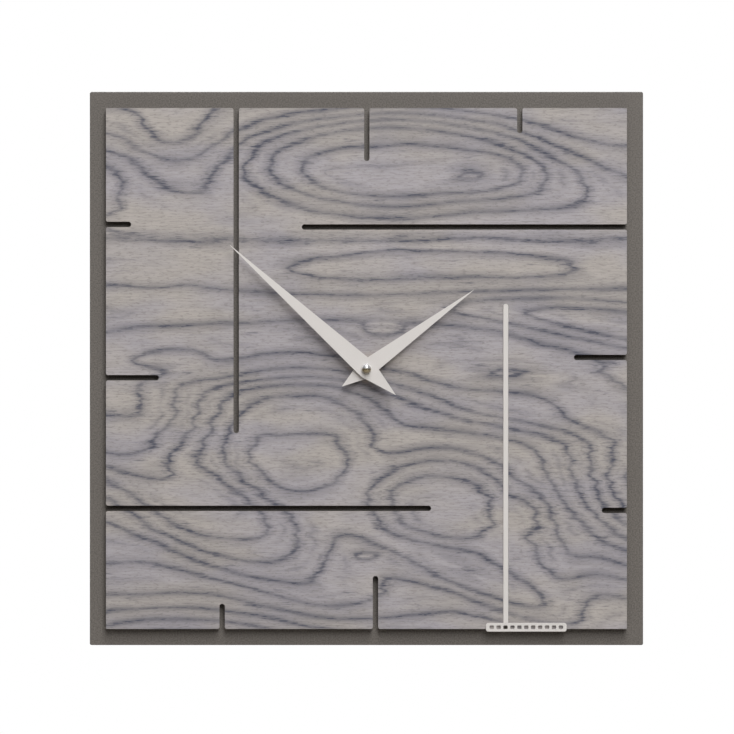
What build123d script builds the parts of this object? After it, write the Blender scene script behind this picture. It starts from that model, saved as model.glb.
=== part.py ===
from build123d import *
import math
import os

# Square wall clock, 300 x 300 x 46 mm: a veneered square plate with twelve slots for hour marks, on a
# larger dark plate, on a wooden frame that stands off the wall, driven by a quartz movement.
# Millimetres. X right, Z up, the dial faces -Y. Y = 0 is the wall, and X = Z = 0 is the hands' axis.
# Every depth below is a distance from the wall, so depth d lies at y = -d.

# --- plates ---
BACK_SIZE = 300.0
BACK_CORNER = 1.0
BACK_REAR = 22.0
BACK_FRONT = 30.0
BACK_EASE = 0.5
FRONT_SIZE = 282.0
FRONT_CORNER = 0.5
VENEER = 0.6
FRONT_FACE = 35.0
BUSH_HOLE = 4.2

# --- hour slots in the front plate ---
SLOT_WIDTH = 2.9
SLOT_MOUTH = 1.1
LONG_SLOT = 176.0
# edge of the plate that the slot opens at, place along that edge, length
SLOTS = (
    ("top", 83.0, 13.6),
    ("right", 76.6, LONG_SLOT),
    ("right", 6.0, 28.7),
    ("right", -76.8, 13.6),
    ("bottom", 75.4, LONG_SLOT),
    ("bottom", 4.9, 28.7),
    ("bottom", -78.1, 13.6),
    ("left", -75.7, LONG_SLOT),
    ("left", -5.0, 28.7),
    ("left", 78.0, 13.6),
    ("top", -70.5, LONG_SLOT),
    ("top", 0.2, 28.7),
)

# --- light strip in the fifth slot, with its pierced foot rail ---
STRIP_X = 75.4
STRIP_WIDTH = 2.74
STRIP_TOP = 34.9
STRIP_FACE = 35.7
RAIL_X = 86.5
RAIL_Z = -140.05
RAIL_LENGTH = 43.6
RAIL_HEIGHT = 4.6
RAIL_THICKNESS = 1.2
WINDOWS = 11
WINDOW_WIDTH = 2.3
WINDOW_HEIGHT = 2.0

# --- wooden frame behind the back plate ---
WALL_FRAME = 210.0
WALL_RAIL = 16.0
FELT = 1.5
FELT_WIDTH = 10.0

# --- hanger plate ---
HANGER_SHEET = 1.0
HANGER_REAR = 8.0
HANGER_WIDTH = 20.0
HANGER_BEND_Z = 30.0
HANGER_TOP = 54.0
KEYHOLE_Z = 39.0
KEYHOLE_R = 4.5
KEYHOLE_SLOT = 4.4
KEYHOLE_TOP = 46.0

# --- movement case ---
CASE_SIZE = 56.0
CASE_CORNER = 3.0
CASE_REAR = 4.5
CASE_FRONT = 20.0
CASE_WALL = 1.0
COVER = 1.2
BUSH_R = 4.0
BUSH_BORE = 2.6
BUSH_TOP = 38.0
DIVIDER_Z = -11.2
THREAD_PITCH = 0.75
THREAD_DEPTH = 0.25

# --- nut and washers on the bush ---
WASHER_R = 5.75
WASHER = 0.5
NUT_FLATS = 11.0
NUT = 2.2
RUBBER_R = 14.0

# --- hands: length from the axis, tail length, half width, place of the widest point behind the axis ---
MINUTE_TIP = 100.5
MINUTE_TAIL = 21.5
MINUTE_HALF = 5.2
MINUTE_WIDEST = 0.9
MINUTE_ANGLE = 312.1
HOUR_TIP = 72.9
HOUR_TAIL = 16.5
HOUR_HALF = 4.9
HOUR_WIDEST = 2.0
HOUR_ANGLE = 53.8
BLADE = 0.6
POINT_R = 0.06
HOUR_BLADE = 39.0
MINUTE_BLADE = 41.2
BALL_R = 2.55
BALL_DEPTH = 43.3

# --- shafts ---
HOUR_TUBE_R = 2.55
HOUR_TUBE_BORE = 1.66
HOUR_TUBE_TOP = 39.8
MINUTE_R = 1.6
MINUTE_BORE = 0.6
MINUTE_REAR = 9.4
MINUTE_STUD_R = 1.3
MINUTE_TOP = 43.9
SECONDS_R = 0.55
ARBOR_R = 0.4
ARBOR_REAR = 5.0
ARBOR_FRONT = 17.0

# --- gear teeth: heights in modules, half widths as shares of the tooth pitch ---
ADDENDUM = 0.85
DEDENDUM = 1.25
TIP_SHARE = 0.11
ROOT_SHARE = 0.27
MOTION_MODULE = 0.3
HOUR_MODULE = 0.28
THIRD_MODULE = 0.2
CENTRE_MODULE = 0.2 * 85 / 90
SECONDS_MODULE = 0.25
ROTOR_MODULE = 0.2

# --- axes of the gear train, as direction from the axis before and distance ---
MOTION_ANGLE = 150.0
MOTION_DISTANCE = MOTION_MODULE * (14 + 42) / 2
SETTING_ANGLE = 180.0
THIRD_ANGLE = 0.0
THIRD_DISTANCE = THIRD_MODULE * (10 + 75) / 2
INTERMEDIATE_ANGLE = 60.0
INTERMEDIATE_DISTANCE = SECONDS_MODULE * (12 + 60) / 2
ROTOR_ANGLE = 75.0
ROTOR_DISTANCE = ROTOR_MODULE * (10 + 60) / 2

# --- stepping motor ---
MAGNET_R = 2.5
ROTOR_HOLE = 2.95
STATOR_REAR = 10.5
CORE_REAR = 11.3
CORE_FRONT = 12.1
COIL_FEET = (-12.0, -8.0, 13.0, 17.0)
COIL_X = (-6.5, 11.5)
COIL_DEPTH = 11.7
COIL_Z = 22.6
BOBBIN_R = 2.2
WINDING_R = 3.6
FLANGE_HALF = 4.0

# --- battery, AA size ---
BATTERY_R = 7.1
BATTERY_Z = -19.7
BATTERY_DEPTH = 12.2
BATTERY_END = 25.2
WRAP = 0.15

os.makedirs("parts", exist_ok=True)


def plate(sketch, near, far):
    """Solid of a flat outline (x right, z up) between two depths."""
    return extrude(Plane.XZ.offset(near) * sketch, amount=far - near)


def disc(radius, near, far, at=(0.0, 0.0)):
    return plate(Pos(*at) * Circle(radius), near, far)


def ring(outer, inner, near, far, at=(0.0, 0.0)):
    return plate(Pos(*at) * (Circle(outer) - Circle(inner)), near, far)


def block(x0, x1, near, far, z0, z1):
    return plate(Pos((x0 + x1) / 2, (z0 + z1) / 2) * Rectangle(x1 - x0, z1 - z0), near, far)


def rod_x(radius, x0, x1):
    """Rod along the battery's axis."""
    return extrude(Plane.YZ.offset(x0) * Pos(-BATTERY_DEPTH, BATTERY_Z) * Circle(radius), amount=x1 - x0)


def turned(profile, at=(0.0, 0.0)):
    """Solid of revolution about an axis along Y, from (radius, depth) points."""
    points = [(at[0] + radius, -depth, at[1]) for radius, depth in profile]
    face = make_face(Polyline(*points, close=True))
    return revolve(face, Axis((at[0], 0, at[1]), (0, 1, 0)))


def polar(origin, angle, distance):
    turn = math.radians(angle)
    return (origin[0] + distance * math.cos(turn), origin[1] + distance * math.sin(turn))


def at_depth(shape, axis_depth):
    """Edges that lie flat at one depth."""
    return shape.edges().filter_by(lambda e: abs(e.bounding_box().min.Y + axis_depth) < 1e-4
                                   and abs(e.bounding_box().max.Y + axis_depth) < 1e-4)


def save(name, shape):
    export_step(shape, f"parts/{name}.step")


# --- gears ---
def gear(teeth, module, turn, near, far, bore, at=(0.0, 0.0), windows=0, window_r=0.0, window_at=0.0):
    """Spur gear with straight flanks, one tooth in the direction `turn`, and round lightening windows."""
    pitch_r = module * teeth / 2
    tip_r = pitch_r + ADDENDUM * module
    root_r = pitch_r - DEDENDUM * module
    pitch = 2 * math.pi / teeth
    corners = ((root_r, -ROOT_SHARE), (tip_r, -TIP_SHARE), (tip_r, TIP_SHARE), (root_r, ROOT_SHARE))
    points = []
    for tooth in range(teeth):
        middle = math.radians(turn) + tooth * pitch
        for radius, share in corners:
            angle = middle + share * pitch
            points.append((radius * math.cos(angle), radius * math.sin(angle)))
    outline = make_face(Polyline(*points, close=True))
    if bore:
        outline -= Circle(bore)
    for window in range(windows):
        place = polar((0.0, 0.0), turn + 360 * window / windows, window_at)
        outline -= Pos(*place) * Circle(window_r)
    return plate(Pos(*at) * outline, near, far)


def meshing_turn(teeth, turn, direction, other_teeth):
    """Direction of a tooth of the gear that lies in `direction` from this one and is in mesh with it."""
    ahead = (turn - direction) % (360 / teeth)
    return direction + 180 - ahead * teeth / other_teeth + 180 / other_teeth


# --- front and back plates ---
def slot(edge, place, length):
    """Outline of one slot: it opens at an edge of the front plate and has a round inner end."""
    half = FRONT_SIZE / 2
    inner = half - length + SLOT_WIDTH / 2
    outer = half + 5.0
    middle = (inner + outer) / 2
    straight = Pos(0, middle) * Rectangle(SLOT_WIDTH, outer - inner)
    upright = straight + Pos(0, inner) * Circle(SLOT_WIDTH / 2)
    turn, shift = {
        "top": (0, (place, 0)),
        "bottom": (180, (place, 0)),
        "right": (-90, (0, place)),
        "left": (90, (0, place)),
    }[edge]
    return Pos(*shift) * (Rot(0, 0, turn) * upright)


def front_outline():
    outline = Rectangle(FRONT_SIZE, FRONT_SIZE)
    for edge, place, length in SLOTS:
        outline -= slot(edge, place, length)
    outline -= Circle(BUSH_HOLE)
    half = FRONT_SIZE / 2
    corners = outline.vertices().filter_by(lambda v: abs(abs(v.X) - half) < 1e-3
                                           and abs(abs(v.Y) - half) < 1e-3)
    outline = fillet(corners, FRONT_CORNER)
    mouths = outline.vertices().filter_by(
        lambda v: (abs(abs(v.X) - half) < 1e-3 and abs(v.Y) < half - 2)
        or (abs(abs(v.Y) - half) < 1e-3 and abs(v.X) < half - 2))
    return fillet(mouths, SLOT_MOUTH)


back_panel = plate(RectangleRounded(BACK_SIZE, BACK_SIZE, BACK_CORNER), BACK_REAR, BACK_FRONT)
back_panel = fillet(at_depth(back_panel, BACK_FRONT) + at_depth(back_panel, BACK_REAR), BACK_EASE)
back_panel -= disc(BUSH_HOLE, BACK_REAR - 1, BACK_FRONT + 1)
save("back_panel", back_panel)

front_face = front_outline()
save("front_core", plate(front_face, BACK_FRONT, FRONT_FACE - VENEER))
save("front_veneer", plate(front_face, FRONT_FACE - VENEER, FRONT_FACE))

# --- light strip and foot rail ---
strip_foot = RAIL_Z + RAIL_HEIGHT / 2
strip_body = Pos(STRIP_X, (strip_foot + STRIP_TOP - STRIP_WIDTH / 2) / 2) * Rectangle(
    STRIP_WIDTH, STRIP_TOP - STRIP_WIDTH / 2 - strip_foot)
strip_body += Pos(STRIP_X, STRIP_TOP - STRIP_WIDTH / 2) * Circle(STRIP_WIDTH / 2)
marker_strip = plate(strip_body, BACK_FRONT, STRIP_FACE)
marker_strip = chamfer(at_depth(marker_strip, STRIP_FACE), 0.15)
save("marker_strip", marker_strip)

rail = RectangleRounded(RAIL_LENGTH, RAIL_HEIGHT, 1.2)
window_pitch = (RAIL_LENGTH - 2.4) / WINDOWS
for number in range(WINDOWS):
    shift = (number - (WINDOWS - 1) / 2) * window_pitch
    rail -= Pos(shift, 0) * RectangleRounded(WINDOW_WIDTH, WINDOW_HEIGHT, 0.5)
foot_rail = plate(Pos(RAIL_X, RAIL_Z) * rail, FRONT_FACE, FRONT_FACE + RAIL_THICKNESS)
save("foot_rail", foot_rail)

# --- wooden frame and felt ring ---
half_frame = WALL_FRAME / 2
inner_frame = half_frame - WALL_RAIL
rail_boxes = {
    "top": (-half_frame, half_frame, inner_frame, half_frame),
    "bottom": (-half_frame, half_frame, -half_frame, -inner_frame),
    "left": (-half_frame, -inner_frame, -inner_frame, inner_frame),
    "right": (inner_frame, half_frame, -inner_frame, inner_frame),
}
for side, (x0, x1, z0, z1) in rail_boxes.items():
    wood = block(x0, x1, FELT, BACK_REAR, z0, z1)
    wood = chamfer(at_depth(wood, FELT), 0.6)
    save(f"wall_rail_{side}", wood)

felt_middle = WALL_FRAME - WALL_RAIL
felt = RectangleRounded(felt_middle + FELT_WIDTH, felt_middle + FELT_WIDTH, 4.0)
felt -= RectangleRounded(felt_middle - FELT_WIDTH, felt_middle - FELT_WIDTH, 1.0)
save("felt_ring", plate(felt, 0, FELT))

# --- hanger: a round base under the movement, a step towards the wall and a tab with a keyhole ---
base_rear = CASE_FRONT
base_front = CASE_FRONT + HANGER_SHEET
half_hanger = HANGER_WIDTH / 2
hanger = disc(12.0, base_rear, base_front)
step_top = HANGER_BEND_Z + HANGER_SHEET
tab_front = HANGER_REAR + HANGER_SHEET
hanger += block(-half_hanger, half_hanger, base_rear, base_front, 0, step_top)
hanger += block(-half_hanger, half_hanger, HANGER_REAR, base_front, HANGER_BEND_Z, step_top)
hanger += block(-half_hanger, half_hanger, HANGER_REAR, tab_front, HANGER_BEND_Z, HANGER_TOP)
outer_bends = hanger.edges().filter_by(Axis.X).filter_by(
    lambda e: (abs(e.center().Y + base_front) < 1e-4 and abs(e.center().Z - step_top) < 1e-4)
    or (abs(e.center().Y + HANGER_REAR) < 1e-4 and abs(e.center().Z - HANGER_BEND_Z) < 1e-4))
hanger = fillet(outer_bends, 0.9)
tab_corners = hanger.edges().filter_by(Axis.Y).filter_by(lambda e: abs(e.center().Z - HANGER_TOP) < 1e-4)
hanger = fillet(tab_corners, 5.0)
hanger -= disc(BUSH_R + 0.1, base_rear - 1, base_front + 1)
hanger -= disc(KEYHOLE_R, HANGER_REAR - 1, HANGER_REAR + HANGER_SHEET + 1, (0, KEYHOLE_Z))
hanger -= block(-KEYHOLE_SLOT / 2, KEYHOLE_SLOT / 2, HANGER_REAR - 1, HANGER_REAR + HANGER_SHEET + 1,
                KEYHOLE_Z, KEYHOLE_TOP)
hanger -= disc(KEYHOLE_SLOT / 2, HANGER_REAR - 1, HANGER_REAR + HANGER_SHEET + 1, (0, KEYHOLE_TOP))
save("hanger_plate", hanger)

save("rubber_washer", ring(RUBBER_R, BUSH_R + 0.1, base_front, BACK_REAR))

# --- axes of the movement's wheels ---
centre = (0.0, 0.0)
motion_at = polar(centre, MOTION_ANGLE, MOTION_DISTANCE)
setting_at = polar(motion_at, SETTING_ANGLE, MOTION_DISTANCE)
third_at = polar(centre, THIRD_ANGLE, THIRD_DISTANCE)
intermediate_at = polar(centre, INTERMEDIATE_ANGLE, INTERMEDIATE_DISTANCE)
rotor_at = polar(intermediate_at, ROTOR_ANGLE, ROTOR_DISTANCE)

# --- movement case: walls, battery bay, posts and the threaded bush ---
half_case = CASE_SIZE / 2
inner_case = half_case - CASE_WALL
case = plate(RectangleRounded(CASE_SIZE, CASE_SIZE, CASE_CORNER), CASE_REAR, CASE_FRONT)
case = fillet(at_depth(case, CASE_FRONT), 0.8)
case -= block(-inner_case, inner_case, CASE_REAR - 1, CASE_FRONT - CASE_WALL, DIVIDER_Z, inner_case)
bay_top = DIVIDER_Z - CASE_WALL
case -= block(-inner_case, inner_case, CASE_REAR - 1, CASE_FRONT - 0.6, -inner_case, bay_top)
# slots in the divider for the two battery contacts
case -= block(25.1, 25.8, 12.3, 15.8, bay_top - 0.1, DIVIDER_Z + 0.1)
case -= block(-25.8, -25.1, 16.3, 18.7, bay_top - 0.1, DIVIDER_Z + 0.1)
# notch for a thumb in the bay's lower wall
case -= block(-9, 9, CASE_REAR - 1, CASE_REAR + 5, -half_case - 1, -inner_case + 0.1)
inner_front = CASE_FRONT - CASE_WALL
for place in (third_at, intermediate_at):
    case += ring(1.2, ARBOR_R + 0.05, 16.0, inner_front, place)
case += ring(1.2, 0.4, 13.4, inner_front, rotor_at)
case += ring(1.6, 0.85, 14.4, inner_front, setting_at)
case += disc(1.6, 16.2, inner_front, motion_at)
case += disc(0.7, 11.6, inner_front, motion_at)
for place in ((-10.0, COIL_Z), (15.0, COIL_Z)):
    case += disc(1.2, CORE_FRONT, inner_front, place)
for place in ((19.5, -7.5), (24.5, 7.5)):
    case += disc(1.3, 16.6, inner_front, place)
case += disc(BUSH_R, CASE_FRONT - 0.5, BUSH_TOP)
case -= disc(BUSH_BORE, CASE_FRONT - CASE_WALL - 1, BUSH_TOP + 1)
thread_depth = FRONT_FACE + WASHER + NUT + 0.1
while thread_depth < BUSH_TOP:
    groove = ring(BUSH_R + 1, BUSH_R - THREAD_DEPTH, thread_depth, thread_depth + THREAD_PITCH * 0.35)
    case -= groove
    thread_depth += THREAD_PITCH
save("movement_case", case)

cover_half = inner_case - 0.05
cover_bottom = DIVIDER_Z + 0.05
cover = block(-cover_half, cover_half, CASE_REAR, CASE_REAR + COVER, cover_bottom, cover_half)
cover_corners = cover.edges().filter_by(Axis.Y).filter_by(lambda e: e.center().Z > 0)
cover = fillet(cover_corners, 2.0)
cover = chamfer(at_depth(cover, CASE_REAR), 0.3)
cover -= disc(1.6, CASE_REAR - 1, CASE_REAR + COVER + 1, setting_at)
for place in (centre, third_at, intermediate_at, rotor_at):
    cover -= disc(SECONDS_R + 0.05 if place == centre else ARBOR_R + 0.05,
                  ARBOR_REAR - 0.1, CASE_REAR + COVER + 1, place)
# two raised bars beside the knob, as grip for pulling the cover off
for z in (16.0, 19.0):
    cover += block(-24.0, -14.0, CASE_REAR - 0.4, CASE_REAR, z, z + 1.2)
save("movement_cover", cover)

# --- washer and hexagon nut on the front of the bush ---
nut_rear = FRONT_FACE + WASHER
save("mount_washer", ring(WASHER_R, BUSH_R + 0.05, FRONT_FACE, nut_rear))
hexagon = RegularPolygon(NUT_FLATS / 2 / math.cos(math.pi / 6), 6)
nut = plate(hexagon, nut_rear, nut_rear + NUT)
corner_r = NUT_FLATS / 2 / math.cos(math.pi / 6)
nut &= turned([(0, nut_rear - 0.1), (corner_r, nut_rear - 0.1), (corner_r, nut_rear + NUT - 0.45),
               (corner_r - 0.75, nut_rear + NUT), (0, nut_rear + NUT)])
nut -= disc(BUSH_R + 0.02, nut_rear - 1, nut_rear + NUT + 1)
save("mount_nut", nut)


# --- hands ---
def hand(tip, tail, half_width, widest, angle, hole, near):
    """Kite-shaped blade, `angle` degrees clockwise from twelve o'clock."""
    corners = ((0, tip), (half_width, -widest), (0, -tail), (-half_width, -widest))
    kite = make_face(Polyline(*corners, close=True))
    points = kite.vertices().filter_by(lambda v: abs(v.X) < 1e-6)
    kite = fillet(points, POINT_R)
    kite -= Circle(hole)
    blade = plate(Rot(0, 0, -angle) * kite, near, near + BLADE)
    return blade


hour_hand = hand(HOUR_TIP, HOUR_TAIL, HOUR_HALF, HOUR_WIDEST, HOUR_ANGLE, HOUR_TUBE_R + 0.01, HOUR_BLADE)
save("hour_hand", hour_hand)
save("hour_collet", turned([(HOUR_TUBE_R + 0.01, 38.3), (3.5, 38.3), (3.9, 38.7), (3.9, HOUR_BLADE),
                            (HOUR_TUBE_R + 0.01, HOUR_BLADE)]))
minute_hand = hand(MINUTE_TIP, MINUTE_TAIL, MINUTE_HALF, MINUTE_WIDEST, MINUTE_ANGLE,
                   MINUTE_STUD_R + 0.01, MINUTE_BLADE)
save("minute_hand", minute_hand)

# ball nut: a sphere with a flat foot on the minute hand and a blind hole for the threaded stud
ball_foot = MINUTE_BLADE + BLADE
ball = Pos(0, -BALL_DEPTH, 0) * Sphere(BALL_R)
ball &= block(-5, 5, ball_foot, BALL_DEPTH + 5, -5, 5)
ball -= disc(MINUTE_STUD_R + 0.01, ball_foot - 1, MINUTE_TOP + 0.1)
save("ball_nut", ball)

# --- motion work ---
cannon_turn = MOTION_ANGLE
motion_turn = meshing_turn(14, cannon_turn, MOTION_ANGLE, 42)
setting_turn = meshing_turn(42, motion_turn, SETTING_ANGLE, 14)
motion_pinion_turn = MOTION_ANGLE + 180
hour_turn = meshing_turn(12, motion_pinion_turn, MOTION_ANGLE + 180, 48)

minute_arbor = disc(MINUTE_R, MINUTE_REAR, MINUTE_BLADE)
minute_arbor += disc(MINUTE_STUD_R, MINUTE_BLADE, MINUTE_TOP)
minute_arbor += gear(14, MOTION_MODULE, cannon_turn, 12.0, 13.6, 0)
minute_arbor -= disc(MINUTE_BORE, MINUTE_REAR - 1, 42.0)
save("minute_arbor", minute_arbor)

spring = turned([(MINUTE_R + 0.01, 11.95), (2.6, 11.95), (4.7, 11.1), (4.7, 10.95), (4.55, 10.95),
                 (2.5, 11.75), (MINUTE_R + 0.01, 11.75)])
save("clutch_spring", spring)

hour_wheel = gear(48, HOUR_MODULE, hour_turn, 14.2, 15.0, HOUR_TUBE_BORE,
                  windows=6, window_r=0.8, window_at=5.0)
hour_wheel += ring(3.6, HOUR_TUBE_BORE, 15.0, 18.6)
hour_wheel += ring(HOUR_TUBE_R, HOUR_TUBE_BORE, 18.6, HOUR_TUBE_TOP)
save("hour_wheel", hour_wheel)

motion_wheel = gear(42, MOTION_MODULE, motion_turn, 12.3, 13.0, 0.75, motion_at, 5, 1.1, 3.9)
motion_wheel += gear(12, HOUR_MODULE, motion_pinion_turn, 13.0, 15.9, 0.75, motion_at)
save("motion_wheel", motion_wheel)

setting_arbor = disc(1.5, 4.4, 12.0, setting_at)
setting_arbor += gear(14, MOTION_MODULE, setting_turn, 12.0, 13.4, 0, setting_at)
setting_arbor += disc(0.8, 13.4, 17.5, setting_at)
save("setting_arbor", setting_arbor)

knob_outline = Circle(5.5)
FLUTES = 18
for flute in range(FLUTES):
    knob_outline -= Pos(*polar((0.0, 0.0), 360 * flute / FLUTES, 5.75)) * Circle(0.5)
knob = plate(Pos(*setting_at) * knob_outline, 2.4, 4.2)
knob -= disc(1.5, 3.2, 4.3, setting_at)
knob_stem = disc(1.5, 3.2, 4.4, setting_at)
save("setting_knob", knob + knob_stem)

# --- drive train ---
seconds_wheel_turn = INTERMEDIATE_ANGLE
intermediate_pinion_turn = meshing_turn(60, seconds_wheel_turn, INTERMEDIATE_ANGLE, 12)
intermediate_wheel_turn = ROTOR_ANGLE
rotor_turn = meshing_turn(60, intermediate_wheel_turn, ROTOR_ANGLE, 10)
seconds_pinion_turn = THIRD_ANGLE
third_wheel_turn = meshing_turn(10, seconds_pinion_turn, THIRD_ANGLE, 75)
third_pinion_turn = THIRD_ANGLE + 180
centre_turn = meshing_turn(10, third_pinion_turn, THIRD_ANGLE + 180, 80)

seconds_wheel = gear(60, SECONDS_MODULE, seconds_wheel_turn, 6.4, 7.0, 0,
                     windows=5, window_r=1.7, window_at=4.4)
seconds_wheel += gear(10, THIRD_MODULE, seconds_pinion_turn, 7.0, 8.8, 0)
seconds_wheel += disc(SECONDS_R, ARBOR_REAR, 41.5)
save("seconds_wheel", seconds_wheel)

third_wheel = gear(75, THIRD_MODULE, third_wheel_turn, 7.6, 8.3, 0, third_at, 5, 1.7, 4.4)
third_wheel += gear(10, CENTRE_MODULE, third_pinion_turn, 8.3, 11.4, 0, third_at)
third_wheel += disc(ARBOR_R, ARBOR_REAR, ARBOR_FRONT, third_at)
save("third_wheel", third_wheel)

centre_wheel = gear(80, CENTRE_MODULE, centre_turn, 10.2, 10.9, MINUTE_R + 0.04, windows=5, window_r=1.5,
                    window_at=4.9)
centre_wheel += ring(2.7, MINUTE_R + 0.04, 9.5, 10.2)
save("centre_wheel", centre_wheel)

intermediate = gear(60, ROTOR_MODULE, intermediate_wheel_turn, 8.6, 9.2, 0, intermediate_at, 5, 1.2, 3.5)
intermediate += gear(12, SECONDS_MODULE, intermediate_pinion_turn, 6.0, 7.2, 0, intermediate_at)
intermediate += disc(0.75, 7.2, 8.6, intermediate_at)
intermediate += disc(ARBOR_R, ARBOR_REAR, ARBOR_FRONT, intermediate_at)
save("intermediate_wheel", intermediate)

rotor_pinion = gear(10, ROTOR_MODULE, rotor_turn, 8.2, 9.7, 0, rotor_at)
rotor_pinion += disc(2.0, 9.7, 10.0, rotor_at)
rotor_pinion += disc(0.35, ARBOR_REAR, 14.2, rotor_at)
save("rotor_pinion", rotor_pinion)
save("rotor_magnet", ring(MAGNET_R, 0.36, 10.0, 12.4, rotor_at))

# --- stepping motor: stator sheet, coil core and coil ---
stator = block(COIL_FEET[0], COIL_FEET[3], STATOR_REAR, CORE_REAR, 10.4, 18.5)
for x0, x1 in (COIL_FEET[:2], COIL_FEET[2:]):
    stator += block(x0, x1, STATOR_REAR, CORE_REAR, 18.5, COIL_Z + 2.0)
stator -= disc(ROTOR_HOLE, STATOR_REAR - 1, CORE_REAR + 1, rotor_at)
for side in (-1, 1):
    notch_at = (rotor_at[0], rotor_at[1] + side * ROTOR_HOLE)
    stator -= disc(0.4, STATOR_REAR - 1, CORE_REAR + 1, notch_at)
save("stator", stator)
save("coil_core", block(COIL_FEET[0], COIL_FEET[3], CORE_REAR, CORE_FRONT, COIL_Z - 1.6, COIL_Z + 1.6))


def coil_flange(x0, x1):
    near, far = COIL_DEPTH - FLANGE_HALF, COIL_DEPTH + FLANGE_HALF
    flange = block(x0, x1, near, far, COIL_Z - FLANGE_HALF, COIL_Z + FLANGE_HALF)
    return fillet(flange.edges().filter_by(Axis.X), 0.8)


def coil_rod(radius, x0, x1):
    return extrude(Plane.YZ.offset(x0) * Pos(-COIL_DEPTH, COIL_Z) * Circle(radius), amount=x1 - x0)


coil_left, coil_right = COIL_X
bobbin = coil_rod(BOBBIN_R, coil_left, coil_right)
bobbin += coil_flange(coil_left - 0.8, coil_left)
bobbin += coil_flange(coil_right, coil_right + 0.8)
bobbin -= block(coil_left - 2, coil_right + 2, CORE_REAR, CORE_FRONT, COIL_Z - 1.6, COIL_Z + 1.6)
save("coil_bobbin", bobbin)
winding = coil_rod(WINDING_R, coil_left + 0.1, coil_right - 0.1)
winding -= coil_rod(BOBBIN_R, coil_left, coil_right)
save("coil_winding", winding)

# --- circuit board ---
board = block(17.8, 26.2, 15.6, 16.6, -9.5, 9.5)
save("circuit_board", board)
blob = plate(Pos(22, -2) * Circle(2.8), 14.5, 15.6)
blob = fillet(at_depth(blob, 14.5), 0.9)
save("chip_blob", blob)
can = Pos(22.5, -14.55, 3.0) * Cylinder(1.0, 6.0, align=(Align.CENTER, Align.CENTER, Align.MIN))
can = fillet(can.edges().filter_by(GeomType.CIRCLE), 0.25)
save("crystal_can", can)

# --- battery contacts ---
positive = block(25.3, 25.6, 8.0, 17.0, -24.5, -15.0)
positive += block(25.3, 25.6, 12.5, 15.6, -15.0, -8.2)
save("contact_positive", positive)
negative = block(-25.6, -25.3, 7.5, 17.5, -24.5, -15.0)
negative += block(-25.6, -25.3, 16.5, 18.5, -15.0, -10.9)
negative += block(-25.6, 21.0, 16.6, 18.5, -11.2, -10.9)
negative += block(18.6, 21.0, 16.6, 16.9, -11.0, -8.9)
save("contact_negative", negative)

# --- battery ---
can_end = 23.8
battery_can = rod_x(BATTERY_R - WRAP, -BATTERY_END + 0.3, can_end)
battery_can = fillet(battery_can.edges().filter_by(GeomType.CIRCLE), 0.5)
save("battery_can", battery_can)
save("battery_wrap", rod_x(BATTERY_R, -24.2, 23.1) - rod_x(BATTERY_R - WRAP, -24.2, 23.1))
save("battery_base", rod_x(5.0, -BATTERY_END, -BATTERY_END + 0.3))
save("battery_seal", rod_x(5.9, can_end, can_end + 0.3) - rod_x(2.8, can_end, can_end + 0.3))
nub = rod_x(2.75, can_end, BATTERY_END)
nub = fillet(nub.edges().filter_by(GeomType.CIRCLE).group_by(Axis.X)[-1], 0.5)
save("battery_nub", nub)
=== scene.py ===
"""Looks of the square wall clock.

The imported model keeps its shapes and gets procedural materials. Around it stand a pale floor, soft studio
light and a camera that faces the dial.
"""
import math

import bpy
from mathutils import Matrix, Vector

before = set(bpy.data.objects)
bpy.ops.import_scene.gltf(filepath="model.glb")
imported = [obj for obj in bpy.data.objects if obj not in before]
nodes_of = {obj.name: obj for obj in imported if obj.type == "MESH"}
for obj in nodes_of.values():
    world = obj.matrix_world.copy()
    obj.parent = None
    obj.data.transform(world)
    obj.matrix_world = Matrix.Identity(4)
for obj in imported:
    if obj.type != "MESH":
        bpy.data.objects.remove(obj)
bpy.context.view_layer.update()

# --- camera: straight at the dial, from far away. Metres, but the sensor is in millimetres ---
PICTURE_WIDTH = 0.3980              # what the picture spans at the depth of the dark panel's face
CAMERA_DISTANCE = 3.0
CAMERA_X = 0.0003
CAMERA_Z = 0.0008
DIAL_DEPTH = 0.030
SENSOR = 36.0
CAMERA_REACH = 50.0

# --- light: a tall soft box high in front of the dial, a little to the right ---
KEY_DIRECTION = (0.20, -1.0, 1.15)
KEY_DISTANCE = 3.4
KEY_SIZE = (1.5, 4.4)
KEY_POWER = 164.0
FILL_DIRECTION = (-0.6, -1.0, 0.15)
FILL_DISTANCE = 2.4
FILL_SIZE = (1.6, 1.6)
FILL_POWER = 1.0
REAR_DIRECTION = (-0.5, 1.0, 0.8)
REAR_DISTANCE = 2.0
REAR_SIZE = (1.2, 1.2)
REAR_POWER = 30.0
SIDE_BACK = 0.40                    # each side box stands behind the dial, so it lights no front face
SIDE_RISE = 0.20
SIDE_DISTANCE = 2.2
SIDE_SIZE = (1.0, 1.6)
SIDE_POWER = 12.0
WORLD_LIGHT = 0.10
WORLD_ABOVE = (1.0, 0.99, 0.98, 1)
WORLD_BELOW = (0.42, 0.28, 0.14, 1)
HORIZON = (-0.35, 0.25)             # the light turns from warm to white between these heights
FLOOR_Z = -1.5
FLOOR_SIZE = 4.0

# --- colours, as they look on screen (0 to 255) ---
VENEER_WARM = (180, 173, 168)
VENEER_COOL = (172, 167, 172)
FIGURE_LINE = (74, 76, 90)
PANEL_PAINT = (98, 93, 88)
HAND_PAINT = (206, 202, 199)

# --- figure of the veneer: the height lines of a relief, as on a map ---
# Millimetres from the hands' axis. Each row is a hill or a hollow on an even slope.
BASE_HEIGHT = 1.2
LINE_SPACING = 25.0
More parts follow.
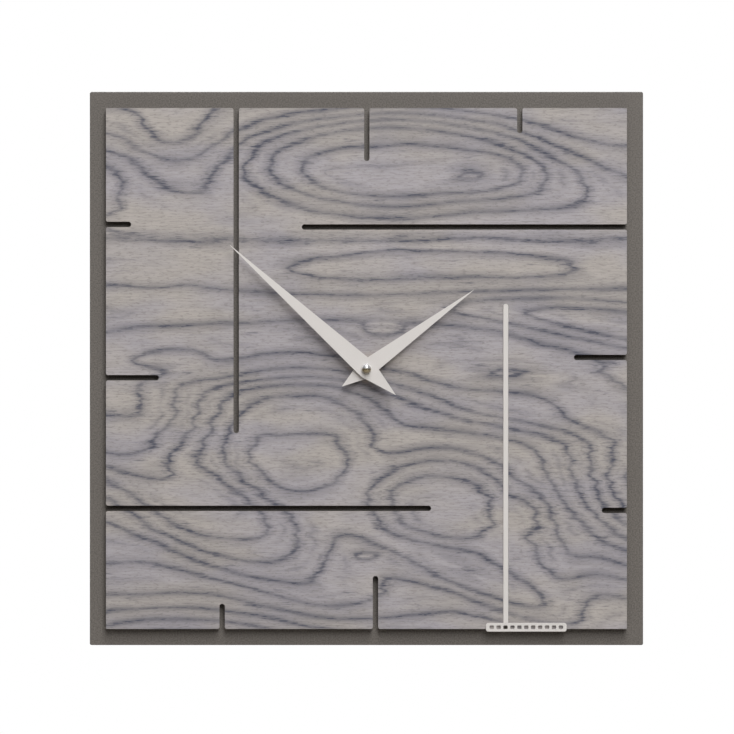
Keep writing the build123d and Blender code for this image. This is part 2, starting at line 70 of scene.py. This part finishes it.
# x, z, half width, half height, turn in degrees, rise in lines,
# power: 1 is a round hill, 2 a table with steep sides
FIGURE = (
    (14, 113, 82, 26, 0, -4.1, 2),
    (92, 101, 46, 16, -4, -1.35, 1.5),
    (-145, 105, 25, 20, 0, -1.7, 1),
    (-105, 126, 26, 16, 0, 1.0, 1),
    (0, 9, 220, 18, 0, 1.8, 2),
    (35, 51, 105, 12, 0, 0.95, 2),
    (8, 20.5, 14, 3.6, 0, -0.8, 1),
    (-110, 6, 18, 5, 4, -0.9, 1),
    (-80, -83, 60, 24, -25, 2.6, 1.5),
    (-136, -28, 42, 28, 0, 2.8, 1.5),
    (-100, -150, 75, 20, 0, -3.0, 1),
    (-37, -32, 42, 36, 0, -1.8, 2),
    (-20, -125, 40, 14, 0, 1.1, 1),
    (0, -101, 9, 2.4, 0, -0.8, 1),
    (40, -70, 36, 25, 0, -1.95, 2),
    (66, -116, 66, 12, -25, 2.2, 1),
    (106, -106, 16, 16, 0, 0.9, 1),
    (88, -77, 12, 11, 0, -0.9, 1.5),
    (160, -65, 48, 43, 0, 6.0, 1),
    (92, -17, 68, 18, -5, 2.15, 2),
    (150, 20, 85, 12, -8, -2.8, 1),
)

# --- lines of the figure: how far each layer reaches from a line, in millimetres, and how dark it is ---
CORE_REACH = 2.0
CORE_SHARE = 0.27
SHADE_REACH = 7.0
SHADE_SHARE = 0.36
TEETH_REACH = 7.0
TEETH_SHARE = 0.28
SMUDGE_SHARE = 0.55
SLOPE_STEP = 1.0                    # the relief's slope is taken over this distance
LEAST_SLOPE = 0.018                 # in lines per millimetre, so that no line spreads without end
LEAST_LEVEL_SLOPE = 0.012

# sockets of Blender's mix node that carry colours
MIX_A = 6
MIX_B = 7
MIX_RESULT = 2


def linear(colour):
    """Linear colour from 0 to 255 screen values."""
    channels = []
    for value in colour:
        share = value / 255
        channels.append(share / 12.92 if share <= 0.04045 else ((share + 0.055) / 1.055) ** 2.4)
    return (*channels, 1.0)


class Shader:
    """A material under construction, with short calls for the nodes that it uses."""

    def __init__(self, name, roughness=0.5, metallic=0.0, **sockets):
        self.material = bpy.data.materials.new(name)
        self.material.use_nodes = True
        self.tree = self.material.node_tree
        self.tree.nodes.clear()
        output = self.tree.nodes.new("ShaderNodeOutputMaterial")
        self.surface = self.tree.nodes.new("ShaderNodeBsdfPrincipled")
        self.surface.inputs["Roughness"].default_value = roughness
        self.surface.inputs["Metallic"].default_value = metallic
        for socket, value in sockets.items():
            self.surface.inputs[socket.replace("_", " ")].default_value = value
        self.link(self.surface.outputs["BSDF"], output.inputs["Surface"])
        self.place = self.tree.nodes.new("ShaderNodeTexCoord").outputs["Object"]

    def link(self, source, target):
        if isinstance(source, (int, float)):
            target.default_value = source
        elif isinstance(source, tuple):
            target.default_value = source
        else:
            self.tree.links.new(source, target)

    def math(self, operation, a, b=None, c=None):
        made = self.tree.nodes.new("ShaderNodeMath")
        made.operation = operation
        for slot, value in enumerate((a, b, c)):
            if value is not None:
                self.link(value, made.inputs[slot])
        return made.outputs[0]

    def mapped(self, source, scale=(1, 1, 1), shift=(0, 0, 0), turn=0.0, kind="POINT"):
        made = self.tree.nodes.new("ShaderNodeMapping")
        made.vector_type = kind
        self.link(source, made.inputs["Vector"])
        made.inputs["Scale"].default_value = scale
        made.inputs["Location"].default_value = shift
        made.inputs["Rotation"].default_value = (0, 0, math.radians(turn))
        return made.outputs["Vector"]

    def noise(self, scale, stretch=(1, 1, 1), detail=3.0, rough=0.55, source=None, shift=(0, 0, 0),
              warp=0.0):
        made = self.tree.nodes.new("ShaderNodeTexNoise")
        self.link(self.mapped(source or self.place, stretch, shift), made.inputs["Vector"])
        made.inputs["Scale"].default_value = scale
        made.inputs["Detail"].default_value = detail
        made.inputs["Roughness"].default_value = rough
        made.inputs["Distortion"].default_value = warp
        return made.outputs["Fac"]

    def between(self, value, low, high, low_out=0.0, high_out=1.0, smooth=True):
        """value moved from low..high to low_out..high_out, and held inside them."""
        made = self.tree.nodes.new("ShaderNodeMapRange")
        made.interpolation_type = "SMOOTHSTEP" if smooth else "LINEAR"
        self.link(value, made.inputs["Value"])
        made.inputs["From Min"].default_value = low
        made.inputs["From Max"].default_value = high
        made.inputs["To Min"].default_value = low_out
        made.inputs["To Max"].default_value = high_out
        return made.outputs["Result"]

    def mix(self, share, a, b):
        made = self.tree.nodes.new("ShaderNodeMix")
        made.data_type = "RGBA"
        self.link(share, made.inputs["Factor"])
        self.link(a, made.inputs[MIX_A])
        self.link(b, made.inputs[MIX_B])
        return made.outputs[MIX_RESULT]

    def split(self, source):
        made = self.tree.nodes.new("ShaderNodeSeparateXYZ")
        self.link(source, made.inputs[0])
        return made.outputs

    def join(self, x, y, z):
        made = self.tree.nodes.new("ShaderNodeCombineXYZ")
        for slot, value in enumerate((x, y, z)):
            self.link(value, made.inputs[slot])
        return made.outputs[0]

    def colour(self, source):
        self.link(source, self.surface.inputs["Base Color"])

    def roughness(self, source):
        self.link(source, self.surface.inputs["Roughness"])

    def bump(self, height, distance, strength=1.0):
        made = self.tree.nodes.new("ShaderNodeBump")
        made.inputs["Strength"].default_value = strength
        made.inputs["Distance"].default_value = distance
        self.link(height, made.inputs["Height"])
        self.link(made.outputs["Normal"], self.surface.inputs["Normal"])

    def painted_edge_highlight(self, width):
        """1 on convex edges, 0 elsewhere; used to paint a highlight along edges."""
        made = self.tree.nodes.new("ShaderNodeNewGeometry")
        return self.between(made.outputs["Pointiness"], 0.5 + width, 0.56 + width)


def darker(colour, share):
    return (colour[0] * share, colour[1] * share, colour[2] * share, 1.0)


# --- veneer ---
def relief(s, spot):
    """Height of the figure's relief at a spot in millimetres, counted in lines."""
    height = s.math("MULTIPLY_ADD", s.split(spot)["Y"], 1 / LINE_SPACING, BASE_HEIGHT)
    for x, z, half_width, half_height, turn, rise, power in FIGURE:
        local = s.mapped(spot, (half_width, half_height, 1), (x, z, 0), turn, "TEXTURE")
        squared = s.tree.nodes.new("ShaderNodeVectorMath")
        squared.operation = "DOT_PRODUCT"
        s.link(local, squared.inputs[0])
        s.link(local, squared.inputs[1])
        fall = s.math("POWER", squared.outputs["Value"], power)
        hump = s.math("POWER", math.exp(-1), fall)
        height = s.math("MULTIPLY_ADD", hump, rise, height)
    return height


def veneer_material():
    """Grey stained veneer: a relief with listed rises and hollows is cut into height lines."""
    s = Shader("veneer_grey", roughness=0.62)
    axes = s.split(s.place)
    x_mm = s.math("MULTIPLY", axes["X"], 1000)
    z_mm = s.math("MULTIPLY", axes["Z"], 1000)
    flat = s.join(x_mm, z_mm, 0.0)

    def streaks(along, across, detail=2, rough=0.5, shift=(0, 0, 0)):
        """Noise drawn out level: along and across are its grain size in millimetres."""
        return s.noise(1.0, (1 / along, 1 / across, 1), detail, rough, flat, shift)

    def centred(value, size):
        return s.math("MULTIPLY", s.math("SUBTRACT", value, 0.5), size)

    # the fibres run level, so they push the height lines sideways by a different step in each fibre
    fine_push = centred(streaks(9, 0.9, 1, 0.5), 1.7)
    broad_push = centred(streaks(26, 5.5, 2, 0.5, (31, 7, 0)), 10.0)
    spot_x = s.math("ADD", x_mm, s.math("ADD", fine_push, broad_push))
    waver = centred(streaks(34, 9, 2, 0.5, (5, 90, 0)), 0.42)
    height = relief(s, s.join(spot_x, z_mm, 0.0))
    next_x = s.join(s.math("ADD", spot_x, SLOPE_STEP), z_mm, 0.0)
    next_z = s.join(spot_x, s.math("ADD", z_mm, SLOPE_STEP), 0.0)
    slope_x = s.math("SUBTRACT", relief(s, next_x), height)
    slope_z = s.math("SUBTRACT", relief(s, next_z), height)
    steep_x = s.math("MAXIMUM", s.math("ABSOLUTE", slope_x), LEAST_LEVEL_SLOPE)
    steep_squared = s.math("MULTIPLY_ADD", slope_x, slope_x, s.math("MULTIPLY", slope_z, slope_z))
    steep = s.math("MAXIMUM", s.math("SQRT", steep_squared), LEAST_SLOPE)
    height = s.math("ADD", height, waver)
    streak = s.between(streaks(7, 0.9, 2, 0.6, (3, 17, 0)), 0.42, 0.66)
    reach = s.math("MULTIPLY", s.math("MULTIPLY", streak, streak), TEETH_REACH)

    def cut(offset):
        """Lines at whole heights: a thin core, a soft shade around it, and teeth along the level fibres."""
        ahead = s.math("FRACT", s.math("ADD", height, offset))
        rise = s.math("MINIMUM", ahead, s.math("SUBTRACT", 1.0, ahead))
        off_line = s.math("DIVIDE", rise, steep)
        off_level = s.math("DIVIDE", rise, steep_x)
        core = s.between(off_line, 0.1, CORE_REACH, 1.0, 0.0)
        shade = s.between(off_line, 0.3, SHADE_REACH, 1.0, 0.0)
        teeth = s.between(s.math("SUBTRACT", off_level, reach), -1.8, 0.6, 1.0, 0.0)
        total = s.math("MULTIPLY_ADD", shade, SHADE_SHARE, s.math("MULTIPLY", core, CORE_SHARE))
        return s.math("MULTIPLY_ADD", teeth, TEETH_SHARE, total)

    # every second line is weak, and fades where the relief is steep and the lines stand close
    patches = s.between(streaks(40, 16, 2, 0.5, (60, 20, 0)), 0.34, 0.64)
    strong = s.math("MULTIPLY", cut(0.0), s.math("MULTIPLY_ADD", patches, 0.35, 0.75))
    calm = s.between(steep, 0.06, 0.14, 1.0, 0.3)
    weak = s.math("MULTIPLY", cut(0.5), s.math("MULTIPLY_ADD", patches, -0.5, 0.5))
    weak = s.math("MULTIPLY", weak, calm)
    # loose groups of dark dashes between the lines
    dashes = s.between(streaks(9, 0.9, 2, 0.6, (44, 8, 0)), 0.44, 0.62, 0.15, 1.0)
    smudge = s.math("MULTIPLY", s.between(streaks(17, 3.4, 3, 0.6, (70, 33, 0)), 0.58, 0.74), dashes)
    lines = s.math("MAXIMUM", strong, weak)
    figure = s.math("MINIMUM", s.math("MULTIPLY_ADD", smudge, SMUDGE_SHARE, lines), 1.0)

    # the ground: two tones in broad clouds, then fibres and pores
    tone = streaks(70, 30, 2, 0.5, (12, 40, 0))
    ground = s.mix(s.between(tone, 0.38, 0.62), linear(VENEER_WARM), linear(VENEER_COOL))
    fibre = streaks(11, 0.8, 4, 0.7)
    ground = s.mix(s.between(fibre, 0.41, 0.62, 0.0, 0.38), ground, darker(linear(VENEER_WARM), 0.60))
    pores = streaks(3.4, 0.85, 2, 0.6, (9, 9, 0))
    pore_share = s.between(pores, 0.55, 0.62, 0.0, 0.36)
    ground = s.mix(pore_share, ground, darker(linear(VENEER_WARM), 0.42))
    s.colour(s.mix(figure, ground, linear(FIGURE_LINE)))
    s.roughness(s.between(fibre, 0.2, 0.8, 0.52, 0.72))
    grain = s.math("SUBTRACT", fibre, s.math("MULTIPLY", pore_share, 1.2))
    s.bump(grain, 0.00006, 0.6)
    return s.material


# --- paints ---
def textured_paint(name, colour, grain_mm, contrast, roughness):
    """Sprayed paint with a fine grain and faint cloudy unevenness."""
    s = Shader(name, roughness)
    base = linear(colour)
    speckle = s.noise(1000 / grain_mm, detail=2, rough=0.6)
    cloud = s.noise(14, detail=3)
    toned = s.mix(s.between(speckle, 0.32, 0.68), darker(base, 1 - contrast), darker(base, 1 + contrast))
    toned = s.mix(s.between(cloud, 0.3, 0.7, 0.0, 0.22), toned, darker(base, 0.86))
    # convex edges are painted paler: a painted highlight along the edges
    s.colour(s.mix(s.math("MULTIPLY", s.painted_edge_highlight(0.02), 0.25), toned, darker(base, 1.6)))
    s.roughness(s.between(speckle, 0.3, 0.7, roughness - 0.07, roughness + 0.07))
    s.bump(speckle, 0.00004, 0.5)
    return s.material


def board_edge():
    """Stained edge of fibreboard: dark brown with fine pressed fibres."""
    s = Shader("fibreboard_stained", 0.8)
    base = linear((76, 65, 49))
    fibres = s.noise(900, (0.5, 2.2, 0.5), 4, 0.7)
    layers = s.noise(120, (0.2, 6, 0.2), 2)
    toned = s.mix(s.between(fibres, 0.3, 0.7), darker(base, 0.62), darker(base, 1.35))
    s.colour(s.mix(s.between(layers, 0.4, 0.6, 0.0, 0.3), toned, darker(base, 0.7)))
    s.roughness(s.between(fibres, 0.3, 0.7, 0.72, 0.9))
    s.bump(fibres, 0.00006, 0.7)
    return s.material


def plain_wood(name, level):
    """Light sanded softwood rail. The grain runs along X if level, along Z if not."""
    s = Shader(name, 0.6)
    along = (0.12, 1.0, 1.0) if level else (1.0, 1.0, 0.12)
    light, dark = linear((205, 176, 132)), linear((158, 120, 76))
    rings = s.tree.nodes.new("ShaderNodeTexWave")
    rings.wave_type = "BANDS"
    rings.bands_direction = "Y"
    s.link(s.mapped(s.place, along), rings.inputs["Vector"])
    rings.inputs["Scale"].default_value = 95
    rings.inputs["Distortion"].default_value = 7
    rings.inputs["Detail"].default_value = 3
    rings.inputs["Detail Scale"].default_value = 0.6
    fibre = s.noise(1400, (along[0] * 0.4, 1, along[2] * 0.4), 3, 0.7)
    ground = s.mix(s.between(rings.outputs["Fac"], 0.25, 0.95, 0.0, 0.75), light, dark)
    ground = s.mix(s.between(fibre, 0.45, 0.75, 0.0, 0.45), ground, darker(dark, 0.75))
    s.colour(s.mix(s.between(s.noise(20), 0.35, 0.7, 0.0, 0.3), ground, darker(light, 0.8)))
    s.roughness(s.between(fibre, 0.3, 0.7, 0.5, 0.72))
    s.bump(fibre, 0.00008, 0.5)
    return s.material


def felt_material():
    s = Shader("felt_black", 0.95)
    s.surface.inputs["Sheen Weight"].default_value = 0.35
    s.surface.inputs["Sheen Roughness"].default_value = 0.5
    hairs = s.noise(1600, (1, 1, 1), 5, 0.8, warp=1.5)
    tufts = s.noise(260, detail=3)
    toned = s.mix(s.between(hairs, 0.35, 0.7), linear((26, 26, 28)), linear((66, 65, 68)))
    s.colour(s.mix(s.between(tufts, 0.35, 0.7, 0.0, 0.5), toned, linear((34, 33, 35))))
    s.bump(s.math("ADD", hairs, s.math("MULTIPLY", tufts, 0.8)), 0.00035, 0.8)
    return s.material


# --- plastics and rubber ---
def moulded(name, colour, roughness, grain_mm=0.35, sheen=0.0):
    """Moulded plastic with a fine spark-eroded grain, faint flow marks and paler edges that are a painted
    highlight.
    """
    s = Shader(name, roughness)
    base = linear(colour)
    grain = s.noise(1000 / grain_mm, detail=2, rough=0.5)
    flow = s.noise(45, (1, 1, 0.4), 3, warp=0.8)
    toned = s.mix(s.between(grain, 0.3, 0.7), darker(base, 0.82), darker(base, 1.2))
    toned = s.mix(s.between(flow, 0.35, 0.7, 0.0, 0.35), toned, darker(base, 0.8))
    # the paler edges are a painted highlight; sheen brightens them further
    s.colour(s.mix(s.math("MULTIPLY", s.painted_edge_highlight(0.02), 0.4), toned, darker(base, 1.9 + sheen)))
    s.roughness(s.math("ADD", s.between(grain, 0.3, 0.7, roughness - 0.05, roughness + 0.08),
                       s.between(flow, 0.3, 0.7, -0.03, 0.05)))
    s.bump(grain, 0.00003, 0.5)
    return s.material


def rubber_material():
    s = Shader("rubber_black", 0.75)
    dust = s.noise(420, detail=4, rough=0.7)
    s.colour(s.mix(s.between(dust, 0.5, 0.8), linear((28, 28, 29)), linear((62, 60, 58))))
    s.roughness(s.between(dust, 0.3, 0.8, 0.66, 0.88))
    s.bump(dust, 0.00004, 0.5)
    return s.material


# --- metals ---
def brushed(name, colour, roughness, stretch, scale=900, tarnish=(0.5, 0.45, 0.4)):
    """Rolled or brushed metal: fine lines and blotchy dulling."""
    s = Shader(name, roughness, 1.0)
    base = linear(colour)
    lines = s.noise(scale, stretch, 3, 0.65)
    blotch = s.noise(160, detail=4, rough=0.6)
    toned = s.mix(s.between(lines, 0.3, 0.7), darker(base, 0.8), darker(base, 1.08))
    dull = (base[0] * tarnish[0], base[1] * tarnish[1], base[2] * tarnish[2], 1.0)
    s.colour(s.mix(s.between(blotch, 0.52, 0.75, 0.0, 0.35), toned, dull))
    s.roughness(s.math("ADD", s.between(lines, 0.3, 0.7, roughness - 0.06, roughness + 0.1),
                       s.between(blotch, 0.4, 0.7, 0.0, 0.14)))
    s.bump(lines, 0.00002, 0.5)
    return s.material


def turned_metal(name, colour, roughness, ring_scale=2600):
    """Metal turned on a lathe about the hands' axis: fine rings and a light patina."""
    s = Shader(name, roughness, 1.0)
    base = linear(colour)
    rings = s.tree.nodes.new("ShaderNodeTexWave")
    rings.wave_type = "RINGS"
    rings.rings_direction = "Y"
    s.link(s.place, rings.inputs["Vector"])
    rings.inputs["Scale"].default_value = ring_scale / 6.283
    rings.inputs["Distortion"].default_value = 0.6
    patina = s.noise(380, detail=4, rough=0.65)
    toned = s.mix(rings.outputs["Fac"], darker(base, 0.86), darker(base, 1.05))
    s.colour(s.mix(s.between(patina, 0.5, 0.75, 0.0, 0.4), toned, darker(base, 0.6)))
    s.roughness(s.between(patina, 0.35, 0.7, roughness, roughness + 0.16))
    s.bump(rings.outputs["Fac"], 0.00001, 0.4)
    return s.material


def nickel_material():
    """Satin nickel plate. Faces that turn down get a painted reflection: a warm tint that stands for a
    brown floor mirrored in them.
    """
    s = Shader("nickel_satin", 0.3, 0.75)
    bright = linear((240, 240, 242))
    painted_floor_reflection = linear((150, 136, 104))
    facing = s.split(s.tree.nodes.new("ShaderNodeNewGeometry").outputs["Normal"])["Z"]
    # painted reflection: faces turned down are tinted warm, as if mirroring a brown floor
    base = s.mix(s.between(facing, -0.25, 0.30), painted_floor_reflection, bright)
    hairlines = s.noise(700, (1, 1, 4), 4, 0.7)
    haze = s.noise(300, detail=3)
    s.colour(s.mix(s.between(haze, 0.5, 0.8, 0.0, 0.3), base, darker(bright, 0.6)))
    s.roughness(s.between(hairlines, 0.35, 0.75, 0.24, 0.36))
    s.bump(hairlines, 0.000006, 0.3)
    return s.material


def winding_material():
    """Enamelled copper wire in close turns along X."""
    s = Shader("copper_winding", 0.28, 1.0)
    base = linear((206, 118, 70))
    turns = s.tree.nodes.new("ShaderNodeTexWave")
    turns.wave_type = "BANDS"
    turns.bands_direction = "X"
    s.link(s.place, turns.inputs["Vector"])
    turns.inputs["Scale"].default_value = 3200
    turns.inputs["Distortion"].default_value = 1.2
    turns.inputs["Detail"].default_value = 1
    cloud = s.noise(200, detail=3)
    # painted shade: each turn darkens towards the grooves between the turns
    toned = s.mix(turns.outputs["Fac"], darker(base, 0.4), base)
    s.colour(s.mix(s.between(cloud, 0.45, 0.7, 0.0, 0.35), toned, linear((150, 70, 40))))
    s.roughness(s.between(cloud, 0.3, 0.7, 0.24, 0.4))
    s.bump(turns.outputs["Fac"], 0.00005, 0.7)
    return s.material


def board_material():
    """Green circuit board with paler copper tracks under the mask."""
    s = Shader("board_green", 0.35, Coat_Weight=0.3)
    axes = s.split(s.place)
    lane = s.math("FRACT", s.math("MULTIPLY", axes["X"], 620))
    cross = s.math("FRACT", s.math("MULTIPLY", axes["Z"], 260))
    track = s.math("MAXIMUM", s.between(lane, 0.62, 0.68), s.between(cross, 0.82, 0.86))
    gate = s.between(s.noise(240, detail=0), 0.48, 0.54)
    base = s.mix(s.math("MULTIPLY", track, gate), linear((28, 84, 42)), linear((60, 128, 66)))
    weave = s.noise(1500, detail=2)
    s.colour(s.mix(s.between(weave, 0.4, 0.7, 0.0, 0.3), base, linear((22, 66, 36))))
    s.roughness(s.between(weave, 0.3, 0.7, 0.28, 0.45))
    s.bump(s.math("MULTIPLY", track, gate), 0.00004, 0.6)
    return s.material


def battery_film():
    """Plain shrink film: a dark body and a copper-coloured band at the positive end, no print."""
    s = Shader("battery_film", 0.3, 0.55, Coat_Weight=0.4, Coat_Roughness=0.12)
    axes = s.split(s.place)
    band = s.between(axes["X"], 0.0118, 0.0122, smooth=False)
    line_start = s.between(axes["X"], 0.0100, 0.0101)
    line_end = s.between(axes["X"], 0.0106, 0.0107, 1, 0)
    thin_line = s.math("MULTIPLY", line_start, line_end)
    grain = s.noise(1200, (0.3, 1, 1), 3)
    rub = s.noise(90, (0.6, 1, 1), 5, 0.7)
    dark = s.mix(s.between(grain, 0.3, 0.7), linear((34, 40, 52)), linear((52, 60, 74)))
    copper = s.mix(s.between(grain, 0.3, 0.7), linear((176, 110, 62)), linear((206, 138, 84)))
    body = s.mix(band, dark, copper)
    body = s.mix(thin_line, body, linear((200, 200, 204)))
    s.colour(s.mix(s.between(rub, 0.6, 0.8, 0.0, 0.35), body, linear((120, 120, 122))))
    s.roughness(s.between(rub, 0.4, 0.75, 0.24, 0.5))
    s.bump(rub, 0.00003, 0.4)
    return s.material


def magnet_material():
    s = Shader("magnet_sintered", 0.5, 0.6)
    grain = s.noise(2200, detail=3, rough=0.7)
    s.colour(s.mix(s.between(grain, 0.3, 0.75), linear((52, 50, 49)), linear((104, 101, 98))))
    s.roughness(s.between(grain, 0.3, 0.7, 0.42, 0.62))
    s.bump(grain, 0.00002, 0.6)
    return s.material


ACROSS = (0.06, 1.0, 1.0)
UPRIGHT = (1.0, 1.0, 0.06)
MATERIAL_OF = {
    "back_panel": textured_paint("panel_paint_dark", PANEL_PAINT, 0.75, 0.42, 0.55),
    "front_core": board_edge(),
    "front_veneer": veneer_material(),
    "marker_strip": textured_paint("strip_paint_light", HAND_PAINT, 0.3, 0.04, 0.42),
    "foot_rail": textured_paint("rail_paint_light", HAND_PAINT, 0.3, 0.04, 0.42),
    "hour_hand": textured_paint("hour_hand_paint", HAND_PAINT, 0.25, 0.03, 0.4),
    "minute_hand": textured_paint("minute_hand_paint", HAND_PAINT, 0.25, 0.03, 0.4),
    "wall_rail_top": plain_wood("rail_wood_level", True),
    "wall_rail_left": plain_wood("rail_wood_upright", False),
    "felt_ring": felt_material(),
    "hanger_plate": brushed("zinc_sheet", (188, 190, 194), 0.36, UPRIGHT),
    "rubber_washer": rubber_material(),
    "movement_case": moulded("case_plastic_black", (46, 46, 48), 0.5),
    "movement_cover": moulded("cover_plastic_black", (54, 54, 56), 0.46, 0.28),
    "setting_knob": moulded("knob_plastic_grey", (70, 71, 74), 0.42, 0.3),
    "mount_washer": turned_metal("washer_brass", (205, 172, 104), 0.3),
    "mount_nut": turned_metal("nut_brass", (210, 176, 106), 0.26),
    "hour_collet": turned_metal("collet_brass", (206, 172, 104), 0.28),
    "minute_arbor": turned_metal("arbor_brass", (204, 168, 98), 0.24),
    "clutch_spring": brushed("spring_steel", (150, 150, 150), 0.3, (1, 1, 1)),
    "ball_nut": nickel_material(),
    "hour_wheel": moulded("acetal_hour_wheel", (226, 224, 214), 0.4, 0.3),
    "motion_wheel": moulded("acetal_motion_wheel", (224, 222, 212), 0.4, 0.3),
    "setting_arbor": moulded("acetal_setting_arbor", (60, 60, 62), 0.42, 0.3),
    "seconds_wheel": moulded("acetal_seconds_wheel", (228, 226, 218), 0.4, 0.3),
    "third_wheel": moulded("acetal_third_wheel", (222, 220, 210), 0.4, 0.3),
    "centre_wheel": moulded("acetal_centre_wheel", (226, 224, 215), 0.4, 0.3),
    "intermediate_wheel": moulded("acetal_intermediate_wheel", (220, 218, 208), 0.4, 0.3),
    "rotor_pinion": moulded("acetal_rotor", (230, 228, 220), 0.38, 0.3),
    "rotor_magnet": magnet_material(),
    "stator": brushed("stator_sheet", (142, 142, 146), 0.42, ACROSS),
    "coil_core": brushed("core_sheet", (146, 146, 150), 0.4, ACROSS),
    "coil_bobbin": moulded("bobbin_red", (158, 52, 38), 0.42, 0.3),
    "coil_winding": winding_material(),
    "circuit_board": board_material(),
    "chip_blob": moulded("chip_resin", (24, 24, 25), 0.22, 0.5),
    "crystal_can": brushed("crystal_tin", (206, 206, 208), 0.22, UPRIGHT),
    "contact_positive": brushed("contact_nickel_plus", (196, 190, 178), 0.28, UPRIGHT),
    "contact_negative": brushed("contact_nickel_minus", (194, 188, 176), 0.3, ACROSS),
    "battery_can": brushed("battery_steel", (190, 188, 184), 0.24, (1, 1, 0.1)),
    "battery_nub": brushed("battery_nub_steel", (206, 204, 200), 0.2, (1, 1, 1)),
    "battery_wrap": battery_film(),
    "battery_seal": moulded("battery_seal", (34, 34, 34), 0.5, 0.3),
}
MATERIAL_OF["wall_rail_bottom"] = MATERIAL_OF["wall_rail_top"]
MATERIAL_OF["wall_rail_right"] = MATERIAL_OF["wall_rail_left"]
MATERIAL_OF["battery_base"] = MATERIAL_OF["battery_nub"]

for node, material in MATERIAL_OF.items():
    for slot in nodes_of[node].material_slots:
        slot.material = material


# --- floor, light and camera ---
def stage_floor():
    mesh = bpy.data.meshes.new("studio_floor")
    half = FLOOR_SIZE / 2
    corners = [(x, y, FLOOR_Z) for x, y in ((-half, -half), (half, -half), (half, half), (-half, half))]
    mesh.from_pydata(corners, [], [(0, 1, 2, 3)])
    floor = bpy.data.objects.new("studio_floor", mesh)
    bpy.context.scene.collection.objects.link(floor)
    s = Shader("floor_pale", 0.7)
    cloud = s.noise(6, detail=2)
    s.colour(s.mix(s.between(cloud, 0.3, 0.7), linear((229, 226, 220)), linear((233, 230, 225))))
    mesh.materials.append(s.material)


def area_light(name, direction, distance, size, power):
    """Rectangular soft box that faces the clock from the given direction."""
    lamp = bpy.data.lights.new(name, "AREA")
    lamp.shape = "RECTANGLE"
    lamp.size, lamp.size_y = size
    lamp.energy = power
    made = bpy.data.objects.new(name, lamp)
    bpy.context.scene.collection.objects.link(made)
    toward = Vector(direction).normalized()
    made.location = toward * distance
    made.rotation_mode = "QUATERNION"
    made.rotation_quaternion = toward.to_track_quat("Z", "Y")


def white_world():
    """Pure white to the eye. As light it is dimmer, and warm and dark below the horizon."""
    world = bpy.data.worlds.new("studio_white")
    bpy.context.scene.world = world
    world.use_nodes = True
    tree = world.node_tree
    tree.nodes.clear()
    output = tree.nodes.new("ShaderNodeOutputWorld")
    seen = tree.nodes.new("ShaderNodeBackground")
    lighting = tree.nodes.new("ShaderNodeBackground")
    seen.inputs["Color"].default_value = (1, 1, 1, 1)
    lighting.inputs["Strength"].default_value = WORLD_LIGHT
    direction = tree.nodes.new("ShaderNodeTexCoord")
    parts = tree.nodes.new("ShaderNodeSeparateXYZ")
    upward = tree.nodes.new("ShaderNodeMapRange")
    upward.inputs["From Min"].default_value = HORIZON[0]
    upward.inputs["From Max"].default_value = HORIZON[1]
    blend = tree.nodes.new("ShaderNodeMix")
    blend.data_type = "RGBA"
    blend.inputs[MIX_A].default_value = WORLD_BELOW
    blend.inputs[MIX_B].default_value = WORLD_ABOVE
    path = tree.nodes.new("ShaderNodeLightPath")
    choose = tree.nodes.new("ShaderNodeMixShader")
    tree.links.new(direction.outputs["Generated"], parts.inputs[0])
    tree.links.new(parts.outputs["Z"], upward.inputs["Value"])
    tree.links.new(upward.outputs["Result"], blend.inputs["Factor"])
    tree.links.new(blend.outputs[MIX_RESULT], lighting.inputs["Color"])
    tree.links.new(path.outputs["Is Camera Ray"], choose.inputs["Fac"])
    tree.links.new(lighting.outputs[0], choose.inputs[1])
    tree.links.new(seen.outputs[0], choose.inputs[2])
    tree.links.new(choose.outputs[0], output.inputs["Surface"])


stage_floor()
white_world()
area_light("key_light", KEY_DIRECTION, KEY_DISTANCE, KEY_SIZE, KEY_POWER)
area_light("fill_light", FILL_DIRECTION, FILL_DISTANCE, FILL_SIZE, FILL_POWER)
area_light("rear_light", REAR_DIRECTION, REAR_DISTANCE, REAR_SIZE, REAR_POWER)
for side, name in ((-1, "left_light"), (1, "right_light")):
    area_light(name, (side, SIDE_BACK, SIDE_RISE), SIDE_DISTANCE, SIDE_SIZE, SIDE_POWER)

scene = bpy.context.scene
scene.view_settings.view_transform = "Standard"
scene.view_settings.look = "None"
scene.view_settings.exposure = 0.0
scene.view_settings.gamma = 1.0

camera_data = bpy.data.cameras.new("front_camera")
camera_data.sensor_width = SENSOR
camera_data.lens = SENSOR * CAMERA_DISTANCE / PICTURE_WIDTH
camera_data.clip_end = CAMERA_REACH
camera = bpy.data.objects.new("front_camera", camera_data)
scene.collection.objects.link(camera)
camera.location = (CAMERA_X, -DIAL_DEPTH - CAMERA_DISTANCE, CAMERA_Z)
camera.rotation_euler = (math.radians(90), 0, 0)
scene.camera = camera
